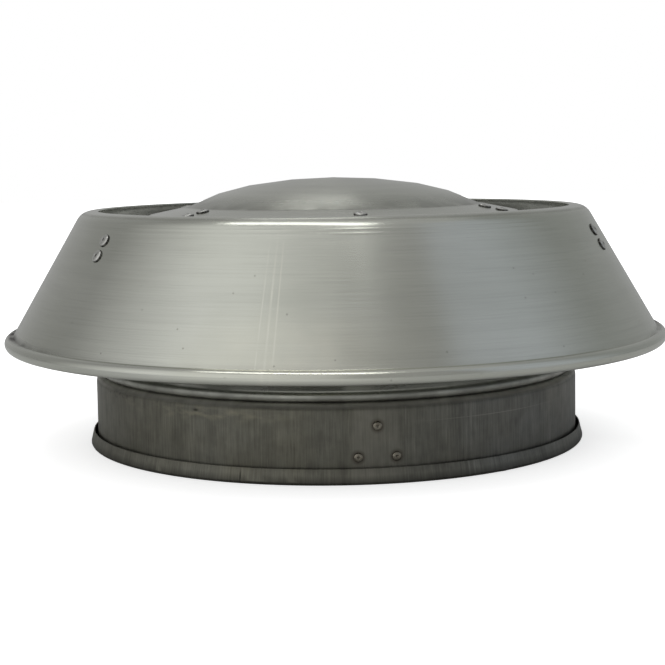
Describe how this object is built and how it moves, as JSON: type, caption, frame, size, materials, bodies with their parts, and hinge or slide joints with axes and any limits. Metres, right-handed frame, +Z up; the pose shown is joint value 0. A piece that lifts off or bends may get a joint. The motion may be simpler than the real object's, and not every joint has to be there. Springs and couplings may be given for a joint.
{
  "type": "chimney cowl",
  "caption": "Round static chimney cowl: domed rain cap over a conical wind skirt with a rolled rim, on a dark hemmed base collar, with a swaged spigot that enters the flue.",
  "frame": {"origin": "centre of the base collar's underside, on the cowl's axis", "axes": "+Z up along the flue, -Y towards the front, where one collar bracket and one cap leg stand"},
  "size_m": [0.5, 0.4999, 0.1978],
  "materials": {
    "spun_aluminium": "spun, with fine lines round it, weathered satin",
    "dark_galvanised_sheet": "weathered dark grey, streaked and stained",
    "rolled_aluminium_sheet": "mill finish, dulled",
    "galvanised_strip": "galvanised, dulled",
    "rivet_aluminium": "satin, with a dark dot of dirt at the middle"
  },
  "bodies": {
    "root": {"base_collar": "dark_galvanised_sheet", "flue_spigot": "rolled_aluminium_sheet", "weather_ring": "spun_aluminium", "skirt": "spun_aluminium", "dome_cap": "spun_aluminium", "collar_bracket_1": "galvanised_strip", "collar_bracket_2": "galvanised_strip", "collar_bracket_3": "galvanised_strip", "cap_leg_1": "rolled_aluminium_sheet", "cap_leg_2": "rolled_aluminium_sheet", "cap_leg_3": "rolled_aluminium_sheet", "skirt_strap_1": "rolled_aluminium_sheet", "skirt_strap_2": "rolled_aluminium_sheet", "skirt_strap_3": "rolled_aluminium_sheet", "collar_bracket_rivets": "rivet_aluminium", "spigot_bracket_rivets": "rivet_aluminium", "cap_leg_foot_rivets": "rivet_aluminium", "cap_leg_tab_rivets": "rivet_aluminium", "strap_cap_rivets": "rivet_aluminium", "strap_skirt_rivets": "rivet_aluminium"}
  },
  "joints": []
}
